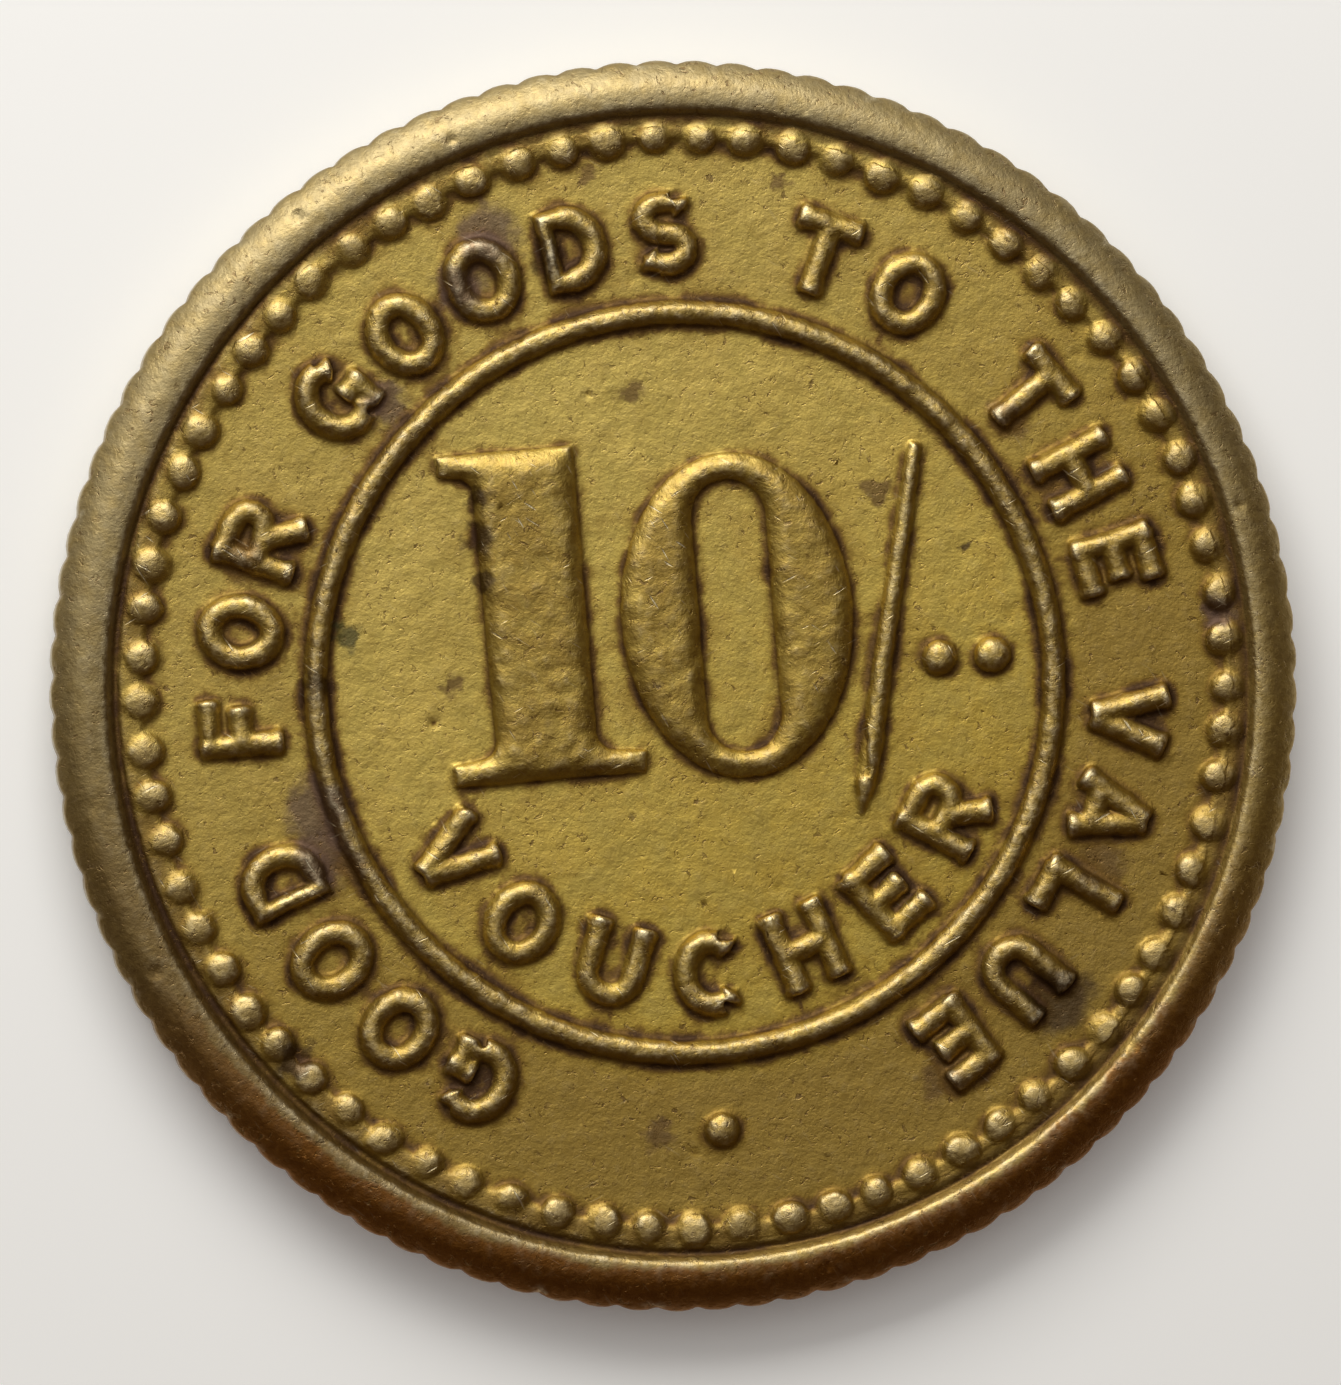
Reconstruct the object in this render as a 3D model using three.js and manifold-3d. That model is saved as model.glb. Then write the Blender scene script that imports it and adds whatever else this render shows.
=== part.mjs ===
// A struck brass value token: one disc of brass with a raised rim, a grained edge,
// a ring of beads, a ring of letters, a line circle and a large value, on both faces.
// Millimetres, +Z up through the obverse, +Y towards the top of the design.
// The origin is the centre of the underside, in the plane of the reverse rim's flat land.

import * as THREE from "three";
import { mergeVertices } from "three/addons/utils/BufferGeometryUtils.js";
import Module from "manifold-3d";

// ---- Blank ----
const diameter = 29.0;
const thickness = 1.9;
const rimHeight = 0.3;
const rimWidth = 1.3;
const rimLandOuterInset = 0.6;
const rimInnerFlank = 0.4;
const shoulderDrop = 0.3;
const shoulderKneeShare = 0.55;

// ---- Grained edge ----
const reedCount = 97;
const reedDepth = 0.11;
const reedNotchShare = 0.42;

// ---- How far the dies sat off the blank's centre ----
const strikeShift = new THREE.Vector2(0.2, 0.06);

// ---- Beads inside the rim ----
const beadDiameter = 0.9;
const beadHeight = 0.24;
const beadPitch = 1.09;
const beadToRimGap = 0.09;

// ---- Ring of letters ----
const legend = "GOOD FOR GOODS TO THE VALUE";
const letterHeight = 1.97;
const letterStroke = 0.44;
const letterRelief = 0.25;
const letterPitch = 2.2;
const wordPitch = 3.68;
const letterToBeadGap = 0.83;
const stopDotDiameter = 0.85;

// ---- Line circle inside the letters ----
const lineWidth = 0.62;
const lineCrestWidth = 0.3;
const lineHeight = 0.25;
const lineToLetterGap = 0.52;

// ---- Lower word inside the line circle ----
const lowerWord = "VOUCHER";
const lowerWordPitch = 2.29;
const lowerWordToLineGap = 0.55;

// ---- Large value in the middle ----
const valueRelief = 0.28;
const valueToLineGap = 0.45;
const valueReach = 7.76;

// ---- Fineness of the round shapes ----
const recessSegments = 60;
const lineSegments = 48;
const beadSides = 6;
const dotSides = 10;
const sunk = 0.1;

// ---- Sizes that follow ----
const outerRadius = diameter / 2;
const fieldLevel = thickness / 2 - rimHeight;
const recessRadius = outerRadius - rimWidth;
const beadRingRadius = recessRadius - beadToRimGap - beadDiameter / 2;
const letterTopRadius = beadRingRadius - beadDiameter / 2 - letterToBeadGap;
const letterFootRadius = letterTopRadius - letterHeight;
const lineRadius = letterFootRadius - lineToLetterGap - lineWidth / 2;
const lineInnerRadius = lineRadius - lineWidth / 2;
const valueScale = (lineInnerRadius - valueToLineGap) / valueReach;

const wasm = await Module();
wasm.setup();

// ---- Closed meshes and booleans ----

function solidOf(geometry) {
  const bare = geometry.clone();
  bare.deleteAttribute("normal");
  bare.deleteAttribute("uv");
  const merged = mergeVertices(bare, 1e-5);
  const vertProperties = new Float32Array(merged.attributes.position.array);
  const triVerts = new Uint32Array(merged.index.array);
  return new wasm.Manifold(new wasm.Mesh({ numProp: 3, vertProperties, triVerts }));
}

function geometryOf(solid) {
  const mesh = solid.getMesh();
  const geometry = new THREE.BufferGeometry();
  geometry.setAttribute("position", new THREE.BufferAttribute(mesh.vertProperties, 3));
  geometry.setIndex(new THREE.BufferAttribute(mesh.triVerts, 1));
  geometry.computeVertexNormals();
  return geometry;
}

function joined(solids) {
  return solids.reduce((whole, piece) => whole.add(piece));
}

// A profile of [radius, height] turned about Z, with a corner line on the +Y axis.
function turned(profile, segments) {
  const points = profile.map(([radius, height]) => new THREE.Vector2(radius, height));
  return new THREE.LatheGeometry(points, segments).rotateX(Math.PI / 2).rotateZ(Math.PI / 2);
}

// ---- Blank: grained outline trimmed by the rounded shoulders ----

function grainedOutline() {
  const shape = new THREE.Shape();
  const step = (2 * Math.PI) / reedCount;
  const halfNotch = (step * reedNotchShare) / 2;
  for (let reed = 0; reed < reedCount; reed += 1) {
    const notch = reed * step;
    const corners = [
      [notch, outerRadius - reedDepth],
      [notch + halfNotch, outerRadius],
      [notch + step - halfNotch, outerRadius],
    ];
    for (const [angle, radius] of corners) {
      const x = radius * Math.cos(angle);
      const y = radius * Math.sin(angle);
      if (reed === 0 && angle === 0) {
        shape.moveTo(x, y);
      } else {
        shape.lineTo(x, y);
      }
    }
  }
  shape.closePath();
  return shape;
}

function blankSolid() {
  const wall = new THREE.ExtrudeGeometry(grainedOutline(), {
    depth: thickness,
    bevelEnabled: false,
  });
  wall.translate(0, 0, -thickness / 2);
  const faceLevel = thickness / 2;
  const landRadius = outerRadius - rimLandOuterInset;
  const kneeRadius = landRadius + rimLandOuterInset * shoulderKneeShare;
  const kneeLevel = faceLevel - shoulderDrop * shoulderKneeShare ** 2;
  const edgeLevel = faceLevel - shoulderDrop;
  const outerSlope = (kneeLevel - edgeLevel) / (outerRadius - kneeRadius);
  const clearRadius = outerRadius + 0.5;
  const clearLevel = kneeLevel - outerSlope * (clearRadius - kneeRadius);
  const trim = turned(
    [
      [0, -faceLevel],
      [landRadius, -faceLevel],
      [kneeRadius, -kneeLevel],
      [clearRadius, -clearLevel],
      [clearRadius, clearLevel],
      [kneeRadius, kneeLevel],
      [landRadius, faceLevel],
      [0, faceLevel],
    ],
    reedCount,
  );
  return solidOf(wall).intersect(solidOf(trim));
}

// ---- The sunk field of one face, cut out of the blank down to the field level ----

function recessSolid() {
  const mouthRadius = recessRadius + rimInnerFlank;
  const flankSlope = rimInnerFlank / rimHeight;
  const above = 0.2;
  return solidOf(
    turned(
      [
        [0, fieldLevel],
        [recessRadius, fieldLevel],
        [mouthRadius, fieldLevel + rimHeight],
        [mouthRadius + above * flankSlope, fieldLevel + rimHeight + above],
        [0, fieldLevel + rimHeight + above],
      ],
      recessSegments,
    ),
  ).translate(strikeShift.x, strikeShift.y, 0);
}

// ---- Relief pieces, standing on a field at z = 0 ----

function dome(diameterAtFoot, height, sides) {
  const radius = diameterAtFoot / 2;
  return turned(
    [
      [0, -sunk],
      [radius, -sunk],
      [radius, 0],
      [radius * 0.5, height],
      [0, height],
    ],
    sides,
  );
}

function beadRing() {
  const count = Math.round((2 * Math.PI * beadRingRadius) / beadPitch);
  const beads = [];
  for (let bead = 0; bead < count; bead += 1) {
    const angle = (bead * 2 * Math.PI) / count;
    const geometry = dome(beadDiameter, beadHeight, beadSides);
    geometry.translate(beadRingRadius, 0, 0).rotateZ(angle);
    beads.push(solidOf(geometry));
  }
  return joined(beads);
}

function lineCircle() {
  const outer = lineRadius + lineWidth / 2;
  const crest = lineCrestWidth / 2;
  return solidOf(
    turned(
      [
        [lineInnerRadius, -sunk],
        [outer, -sunk],
        [outer, 0],
        [lineRadius + crest, lineHeight],
        [lineRadius - crest, lineHeight],
        [lineInnerRadius, 0],
        [lineInnerRadius, -sunk],
      ],
      lineSegments,
    ),
  );
}

function raised(shape, height) {
  const geometry = new THREE.ExtrudeGeometry(shape, {
    depth: height + sunk,
    bevelEnabled: false,
    curveSegments: 6,
  });
  return geometry.translate(0, 0, -sunk);
}

// ---- Letters: a punch cut as straight and curved strokes of one width ----

function arc(x, y, radiusX, radiusY, fromDegrees, toDegrees, steps) {
  const points = [];
  for (let step = 0; step <= steps; step += 1) {
    const angle = THREE.MathUtils.degToRad(fromDegrees + ((toDegrees - fromDegrees) * step) / steps);
    points.push(new THREE.Vector2(x + radiusX * Math.cos(angle), y + radiusY * Math.sin(angle)));
  }
  return points;
}

function line(...coordinates) {
  return coordinates.map(([x, y]) => new THREE.Vector2(x, y));
}

// The outline of a stroke: its middle line moved half a stroke to each side, mitred at the bends.
function strokeShape(middle, width) {
  const left = [];
  const right = [];
  middle.forEach((point, index) => {
    const before = middle[Math.max(index - 1, 0)];
    const after = middle[Math.min(index + 1, middle.length - 1)];
    const into = point.clone().sub(before);
    const outOf = after.clone().sub(point);
    if (index === 0) {
      into.copy(outOf);
    }
    if (index === middle.length - 1) {
      outOf.copy(into);
    }
    const along = into.normalize().add(outOf.normalize()).normalize();
    const mitre = width / 2 / along.dot(outOf);
    const across = new THREE.Vector2(-along.y, along.x).multiplyScalar(mitre);
    left.push(point.clone().add(across));
    right.unshift(point.clone().sub(across));
  });
  return new THREE.Shape([...right, ...left]);
}

// A closed oval stroke.
function ringShape(x, y, radiusX, radiusY, width) {
  const shape = new THREE.Shape(arc(x, y, radiusX + width / 2, radiusY + width / 2, 0, 330, 11));
  const hole = new THREE.Path(arc(x, y, radiusX - width / 2, radiusY - width / 2, 0, 315, 7));
  shape.holes.push(hole);
  return shape;
}

// Levels that the middle lines of the strokes keep to, from the foot of a letter.
const cap = letterHeight;
const inset = letterStroke / 2;
const topLine = cap - inset;
const midHeight = cap / 2;
const bowlHalf = cap * 0.27 - inset / 2;

// Each letter gives its width and the middle lines of its strokes.
const letters = {
  A: () => ({
    width: cap * 0.86,
    strokes: [
      line([inset * 0.9, 0], [cap * 0.43 - inset * 0.25, cap]),
      line([cap * 0.86 - inset * 0.9, 0], [cap * 0.43 + inset * 0.25, cap]),
      line([cap * 0.2, cap * 0.3], [cap * 0.66, cap * 0.3]),
    ],
  }),
  C: () => ({
    width: cap * 0.82,
    strokes: [arc(cap * 0.44, midHeight, cap * 0.44 - inset, midHeight - inset, 42, 318, 7)],
  }),
  D: () => ({
    width: cap * 0.8,
    strokes: [
      line([inset, 0], [inset, cap]),
      [
        new THREE.Vector2(inset, topLine),
        ...arc(cap * 0.36, midHeight, cap * 0.44 - inset, midHeight - inset, 90, -90, 5),
        new THREE.Vector2(inset, inset),
      ],
    ],
  }),
  E: () => ({
    width: cap * 0.68,
    strokes: [
      line([inset, 0], [inset, cap]),
      line([inset, topLine], [cap * 0.68, topLine]),
      line([inset, midHeight], [cap * 0.58, midHeight]),
      line([inset, inset], [cap * 0.68, inset]),
    ],
  }),
  F: () => ({
    width: cap * 0.66,
    strokes: [
      line([inset, 0], [inset, cap]),
      line([inset, topLine], [cap * 0.66, topLine]),
      line([inset, midHeight], [cap * 0.56, midHeight]),
    ],
  }),
  G: () => ({
    width: cap * 0.86,
    strokes: [
      arc(cap * 0.44, midHeight, cap * 0.44 - inset, midHeight - inset, 44, 310, 7),
      line([cap * 0.5, cap * 0.44], [cap * 0.86, cap * 0.44]),
      line([cap * 0.86 - inset, cap * 0.44], [cap * 0.86 - inset, cap * 0.1]),
    ],
  }),
  H: () => ({
    width: cap * 0.78,
    strokes: [
      line([inset, 0], [inset, cap]),
      line([cap * 0.78 - inset, 0], [cap * 0.78 - inset, cap]),
      line([inset, midHeight], [cap * 0.78 - inset, midHeight]),
    ],
  }),
  L: () => ({
    width: cap * 0.64,
    strokes: [
      line([inset, 0], [inset, cap]),
      line([inset, inset], [cap * 0.64, inset]),
    ],
  }),
  O: () => ({
    width: cap * 0.86,
    strokes: [],
    rings: [[cap * 0.43, midHeight, cap * 0.43 - inset, midHeight - inset]],
  }),
  R: () => ({
    width: cap * 0.78,
    strokes: [
      line([inset, 0], [inset, cap]),
      [
        new THREE.Vector2(inset, topLine),
        ...arc(cap * 0.46, topLine - bowlHalf, cap * 0.28 - inset / 2, bowlHalf, 90, -90, 4),
        new THREE.Vector2(inset, cap * 0.46),
      ],
      line([cap * 0.36, cap * 0.5], [cap * 0.78 - inset, 0]),
    ],
  }),
  S: () => ({
    width: cap * 0.76,
    strokes: [
      [
        ...arc(cap * 0.38, topLine - bowlHalf, cap * 0.38 - inset, bowlHalf, 25, 270, 5),
        ...arc(cap * 0.38, inset + bowlHalf, cap * 0.38 - inset, bowlHalf, 90, -155, 5).slice(1),
      ],
    ],
  }),
  T: () => ({
    width: cap * 0.78,
    strokes: [
      line([0, topLine], [cap * 0.78, topLine]),
      line([cap * 0.39, 0], [cap * 0.39, cap]),
    ],
  }),
  U: () => ({
    width: cap * 0.8,
    strokes: [
      [
        new THREE.Vector2(inset, cap),
        ...arc(cap * 0.4, cap * 0.4, cap * 0.4 - inset, cap * 0.4 - inset, 180, 360, 5),
        new THREE.Vector2(cap * 0.8 - inset, cap),
      ],
    ],
  }),
  V: () => ({
    width: cap * 0.86,
    strokes: [
      line([inset * 0.9, cap], [cap * 0.43 - inset * 0.25, 0]),
      line([cap * 0.86 - inset * 0.9, cap], [cap * 0.43 + inset * 0.25, 0]),
    ],
  }),
};

// One letter with its middle on the Y axis, its foot at y = footLevel.
function letterGeometries(name, footLevel) {
  const { width, strokes, rings = [] } = letters[name]();
  const shapes = [
    ...strokes.map((stroke) => strokeShape(stroke, letterStroke)),
    ...rings.map((ring) => ringShape(...ring, letterStroke)),
  ];
  return shapes.map((shape) => raised(shape, letterRelief).translate(-width / 2, footLevel, 0));
}

// Letters round the top of the field, feet towards the centre.
function legendRing() {
  const middleRadius = (letterFootRadius + letterTopRadius) / 2;
  const places = [];
  let travel = 0;
  for (const name of legend) {
    if (name === " ") {
      travel += wordPitch - letterPitch;
    } else {
      places.push({ name, travel });
      travel += letterPitch;
    }
  }
  const span = places[places.length - 1].travel;
  const solids = [];
  for (const place of places) {
    const angle = (span / 2 - place.travel) / middleRadius;
    for (const geometry of letterGeometries(place.name, letterFootRadius)) {
      solids.push(solidOf(geometry.rotateZ(angle)));
    }
  }
  return joined(solids);
}

// The word under the value, tops towards the centre.
function lowerWordArc() {
  const footRadius = lineInnerRadius - lowerWordToLineGap;
  const step = lowerWordPitch / (footRadius - letterHeight / 2);
  const solids = [];
  for (let index = 0; index < lowerWord.length; index += 1) {
    const angle = (index - (lowerWord.length - 1) / 2) * step;
    for (const geometry of letterGeometries(lowerWord[index], -footRadius)) {
      solids.push(solidOf(geometry.rotateZ(angle)));
    }
  }
  return joined(solids);
}

function stopDot() {
  const geometry = dome(stopDotDiameter, beadHeight, dotSides);
  return solidOf(geometry.translate(0, -(letterFootRadius + letterTopRadius) / 2, 0));
}

// ---- The value: a fat-face 1 and 0, a slanting stroke and two dots ----

function numeralOne() {
  const shape = new THREE.Shape();
  shape.moveTo(-5.5, -1.95);
  shape.lineTo(-1.15, -1.95);
  shape.lineTo(-1.15, -1.45);
  shape.lineTo(-1.9, -1.4);
  shape.lineTo(-2.15, -1.05);
  shape.lineTo(-2.2, 5.65);
  shape.lineTo(-5.35, 5.65);
  shape.lineTo(-5.3, 5.2);
  shape.lineTo(-4.55, 5.0);
  shape.lineTo(-4.5, -1.05);
  shape.lineTo(-4.75, -1.4);
  shape.lineTo(-5.5, -1.5);
  shape.closePath();
  return shape;
}

function numeralNought() {
  const x = 1.32;
  const y = 1.46;
  const shape = new THREE.Shape();
  shape.absellipse(x, y, 2.66, 3.76, 0, 2 * Math.PI, false, 0);
  const counter = new THREE.Path();
  const counterRadius = 0.88;
  const counterRise = 2.3;
  counter.absarc(x - 0.1, y + counterRise, counterRadius, 0, Math.PI, false);
  counter.absarc(x - 0.1, y - counterRise, counterRadius, Math.PI, 2 * Math.PI, false);
  counter.closePath();
  shape.holes.push(counter);
  return shape;
}

function slantingStroke() {
  const shape = new THREE.Shape();
  shape.moveTo(3.83, -3.33);
  shape.lineTo(4.3, -2.2);
  shape.lineTo(5.95, 5.0);
  shape.lineTo(5.55, 5.1);
  shape.lineTo(3.65, -2.2);
  shape.closePath();
  return shape;
}

function valueSolid() {
  const shapes = [numeralOne(), numeralNought(), slantingStroke()];
  const geometries = shapes.map((shape) => raised(shape, valueRelief));
  for (const x of [5.94, 7.17]) {
    const dot = dome(stopDotDiameter, beadHeight, dotSides);
    geometries.push(dot.translate(x, 0.07, 0));
  }
  return joined(geometries.map((geometry) => solidOf(geometry.scale(valueScale, valueScale, 1))));
}

// ---- The whole disc ----

function faceRelief() {
  return joined([beadRing(), legendRing(), stopDot(), lineCircle(), lowerWordArc(), valueSolid()])
    .translate(strikeShift.x, strikeShift.y, fieldLevel);
}

function tokenSolid() {
  const recess = recessSolid();
  const relief = faceRelief();
  const halfTurn = [0, 180, 0];
  return blankSolid()
    .subtract(recess)
    .subtract(recess.rotate(halfTurn))
    .add(relief)
    .add(relief.rotate(halfTurn))
    .translate(0, 0, thickness / 2);
}

const brass = new THREE.MeshStandardMaterial({ color: 0x9d8438, roughness: 0.42, metalness: 1 });
const token = new THREE.Group();
const disc = new THREE.Mesh(geometryOf(tokenSolid()), brass);
disc.name = "struck_disc";
token.add(disc);

export default token;
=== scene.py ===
import math
import random

import bmesh
import bpy
import numpy as np
from mathutils import Matrix, Vector


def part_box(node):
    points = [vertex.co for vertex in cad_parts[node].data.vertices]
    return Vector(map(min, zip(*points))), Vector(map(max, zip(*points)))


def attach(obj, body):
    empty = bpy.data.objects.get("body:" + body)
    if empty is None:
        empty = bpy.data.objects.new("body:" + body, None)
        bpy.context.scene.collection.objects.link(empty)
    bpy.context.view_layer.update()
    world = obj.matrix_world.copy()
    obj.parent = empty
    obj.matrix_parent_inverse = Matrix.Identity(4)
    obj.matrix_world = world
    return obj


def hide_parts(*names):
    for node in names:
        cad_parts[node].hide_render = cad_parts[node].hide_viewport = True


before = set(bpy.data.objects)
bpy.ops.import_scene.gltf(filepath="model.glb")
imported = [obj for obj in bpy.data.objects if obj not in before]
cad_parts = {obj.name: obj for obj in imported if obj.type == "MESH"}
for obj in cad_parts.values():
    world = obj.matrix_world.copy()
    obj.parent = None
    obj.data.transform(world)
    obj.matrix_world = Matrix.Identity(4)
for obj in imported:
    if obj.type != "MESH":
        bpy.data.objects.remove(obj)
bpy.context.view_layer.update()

# ---- Sizes, in millimetres on the bench; the finished disc is reduced to metres at the end ----

TO_METRES = 0.001
low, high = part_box("struck_disc")
THICKNESS = (high.z - low.z) / TO_METRES
RADIUS = (high.y - low.y) / TO_METRES / 2

RIM_WIDTH = 1.3
RIM_HEIGHT = 0.3
RIM_INNER_FLANK = 0.24
LAND_INSET = 0.9
SHOULDER_DROP = 0.42
FIELD = THICKNESS / 2 - RIM_HEIGHT
RECESS_RADIUS = RADIUS - RIM_WIDTH
STRIKE_SHIFT = (0.2, 0.06)
FOOT_RADIUS = RECESS_RADIUS - 0.06
FOOT_SHIFT = (0.12, 0.0)

REEDS = 97
REED_DEPTH = 0.11
REED_STEPS = 8

BEAD_DIAMETER = 0.9
BEAD_HEIGHT = 0.24
BEADS = 73
BEAD_RING_RADIUS = RECESS_RADIUS - 0.09 - BEAD_DIAMETER / 2
BEAD_BAND_HEIGHT = 0.09

LETTER_HEIGHT = 1.97
LETTER_FOOT = 0.64
LETTER_RELIEF = 0.25
LETTER_TOP_RADIUS = BEAD_RING_RADIUS - BEAD_DIAMETER / 2 - 0.83
LETTER_FOOT_RADIUS = LETTER_TOP_RADIUS - LETTER_HEIGHT
LETTER_PITCH = 2.2
WORD_PITCH = 3.68
LEGEND = "GOOD FOR GOODS TO THE VALUE"
LOWER_WORD = "VOUCHER"
LOWER_WORD_PITCH = 2.29

LINE_WIDTH = 0.62
LINE_HEIGHT = 0.25
LINE_RADIUS = LETTER_FOOT_RADIUS - 0.52 - LINE_WIDTH / 2
LOWER_WORD_FOOT_RADIUS = LINE_RADIUS - LINE_WIDTH / 2 - 0.55

VALUE_RELIEF = 0.28
SUNK = 0.12
VOXEL = 0.05
MOST_TRIANGLES = 192_000
REVERSE_TRIANGLES = 52_000


# ---- Bench habits ----

def only(piece):
    bpy.ops.object.select_all(action="DESELECT")
    piece.select_set(True)
    bpy.context.view_layer.objects.active = piece


def last_added(name):
    piece = bpy.context.active_object
    piece.name = name
    return piece


def settle(piece):
    """Puts the piece's place, turn and size into its mesh."""
    only(piece)
    bpy.ops.object.transform_apply(location=True, rotation=True, scale=True)
    return piece


def joined(pieces):
    bpy.ops.object.select_all(action="DESELECT")
    for piece in pieces:
        piece.select_set(True)
    bpy.context.view_layer.objects.active = pieces[0]
    bpy.ops.object.join()
    return pieces[0]


def finished_with(piece, kind, **settings):
    """Adds a modifier, sets it and applies it."""
    only(piece)
    modifier = piece.modifiers.new(kind.lower(), kind)
    for name, value in settings.items():
        setattr(modifier, name, value)
    bpy.ops.object.modifier_apply(modifier=modifier.name)
    return piece


def cut(piece, tool, operation):
    finished_with(piece, "BOOLEAN", operation=operation, solver="EXACT", object=tool)
    bpy.data.objects.remove(tool)
    return piece


def turned_profile(name, profile, steps):
    """A closed outline of [radius, height] spun about the Z axis."""
    mesh = bpy.data.meshes.new(name)
    corners = [(radius, 0.0, height) for radius, height in profile]
    mesh.from_pydata(corners, [(i, i + 1) for i in range(len(corners) - 1)], [])
    piece = bpy.data.objects.new(name, mesh)
    bpy.context.collection.objects.link(piece)
    only(piece)
    bpy.ops.object.mode_set(mode="EDIT")
    bpy.ops.mesh.select_all(action="SELECT")
    bpy.ops.mesh.spin(steps=steps, angle=2 * math.pi, center=(0, 0, 0), axis=(0, 0, 1))
    bpy.ops.mesh.select_all(action="SELECT")
    bpy.ops.mesh.remove_doubles(threshold=0.0005)
    bpy.ops.mesh.normals_make_consistent(inside=False)
    bpy.ops.object.mode_set(mode="OBJECT")
    return piece


# ---- Blank: a reeded cylinder trimmed by rounded shoulders ----

def reeded_cylinder():
    bpy.ops.mesh.primitive_cylinder_add(
        vertices=REEDS * REED_STEPS, radius=RADIUS, depth=THICKNESS, location=(0, 0, 0))
    piece = settle(last_added("blank"))
    bpy.ops.object.mode_set(mode="EDIT")
    bpy.ops.mesh.select_mode(type="VERT")
    for step in range(REED_STEPS):
        across = abs(2 * step / REED_STEPS - 1)
        depth = REED_DEPTH * across ** 2.2
        edit = bmesh.from_edit_mesh(piece.data)
        for vertex in edit.verts:
            share = math.atan2(vertex.co.y, vertex.co.x) / (2 * math.pi) * REEDS % 1
            vertex.select_set(round(share * REED_STEPS) % REED_STEPS == step)
        edit.select_flush_mode()
        bmesh.update_edit_mesh(piece.data)
        shrink = (RADIUS - depth) / RADIUS
        bpy.ops.transform.resize(value=(shrink, shrink, 1), center_override=(0, 0, 0))
    bpy.ops.object.mode_set(mode="OBJECT")
    return piece


def shoulder_trim():
    face = THICKNESS / 2
    crest = RADIUS - LAND_INSET
    rounds = 10
    upper = [(crest, face)]
    for i in range(1, rounds + 1):
        share = 1.12 * i / rounds
        upper.append((crest + LAND_INSET * share, face - SHOULDER_DROP * share ** 2))
    lower = [(radius, -height) for radius, height in upper]
    profile = [(0, -face)] + lower + upper[::-1] + [(0, face)]
    return turned_profile("shoulder_trim", profile, REEDS * 2)


def recess_cutter(side):
    face = THICKNESS / 2
    profile = [(0, FIELD), (FOOT_RADIUS - 0.05, FIELD), (FOOT_RADIUS + 0.03, FIELD + 0.02)]
    rounds = 7
    for i in range(1, rounds + 1):
        share = i / rounds
        rise = math.sin(share * math.pi / 2) ** 0.9
        profile.append((FOOT_RADIUS + 0.05 + RIM_INNER_FLANK * share, FIELD + RIM_HEIGHT * rise * 0.98))
    mouth = FOOT_RADIUS + RIM_INNER_FLANK + 0.35
    profile += [(mouth, face + 0.01), (mouth, face + 0.3), (0, face + 0.3)]
    cutter = turned_profile("recess_cutter", profile, 180)
    cutter.location = (FOOT_SHIFT[0], FOOT_SHIFT[1], 0)
    settle(cutter)
    if side < 0:
        cutter.rotation_euler = (0, math.pi, 0)
        settle(cutter)
    return cutter


def blank():
    piece = cut(reeded_cylinder(), shoulder_trim(), "INTERSECT")
    cut(piece, recess_cutter(1), "DIFFERENCE")
    cut(piece, recess_cutter(-1), "DIFFERENCE")
    return piece


# ---- Ridges: strokes with a rounded crest and sloping sides ----

def ridge_section():
    """Half-round cross-section of a punched stroke, 1 wide and 1 high above the field."""
    outline = [(-0.5, -0.6), (-0.5, 0.0), (-0.42, 0.4), (-0.29, 0.76), (-0.14, 0.95), (0, 1.0),
               (0.14, 0.95), (0.29, 0.76), (0.42, 0.4), (0.5, 0.0), (0.5, -0.6)]
    data = bpy.data.curves.new("ridge_section", "CURVE")
    data.dimensions = "2D"
    spline = data.splines.new("POLY")
    spline.points.add(len(outline) - 1)
    for point, (x, y) in zip(spline.points, outline):
        point.co = (x * LETTER_FOOT, y * LETTER_RELIEF, 0, 1)
    spline.use_cyclic_u = True
    piece = bpy.data.objects.new("ridge_section", data)
    bpy.context.collection.objects.link(piece)
    return piece


def ridge(name, middle, section, closed=False, widths=None):
    """A stroke swept along its middle line. Open ends flare a little."""
    points = [Vector((x, y, 0)) for x, y in middle]
    radii = list(widths or [1.0] * len(points))
    if not closed and widths is None:
        first = (points[1] - points[0]).normalized()
        last = (points[-1] - points[-2]).normalized()
        start = [points[0] + first * step for step in (0, 0.09, 0.3)]
        end = [points[-1] - last * step for step in (0.3, 0.09, 0)]
        points = start + points[1:-1] + end
        radii = [0.84, 1.1, 1.0] + radii[1:-1] + [1.0, 1.1, 0.84]
    data = bpy.data.curves.new(name, "CURVE")
    data.dimensions = "3D"
    data.twist_mode = "Z_UP"
    data.bevel_mode = "OBJECT"
    data.bevel_object = section
    data.use_fill_caps = True
    spline = data.splines.new("POLY")
    spline.points.add(len(points) - 1)
    for point, place, radius in zip(spline.points, points, radii):
        point.co = (*place, 1)
        point.radius = radius
    spline.use_cyclic_u = closed
    piece = bpy.data.objects.new(name, data)
    bpy.context.collection.objects.link(piece)
    only(piece)
    bpy.ops.object.convert(target="MESH")
    return bpy.context.active_object


# ---- Letters: middle lines on a body one cap high ----

def arc(x, y, radius_x, radius_y, start, end, steps):
    angles = [math.radians(start + (end - start) * i / steps) for i in range(steps + 1)]
    return [(x + radius_x * math.cos(a), y + radius_y * math.sin(a)) for a in angles]


HALF = LETTER_FOOT / 2 * 0.8
CAP = LETTER_HEIGHT
TOP = CAP - HALF
MIDDLE = CAP / 2


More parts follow.
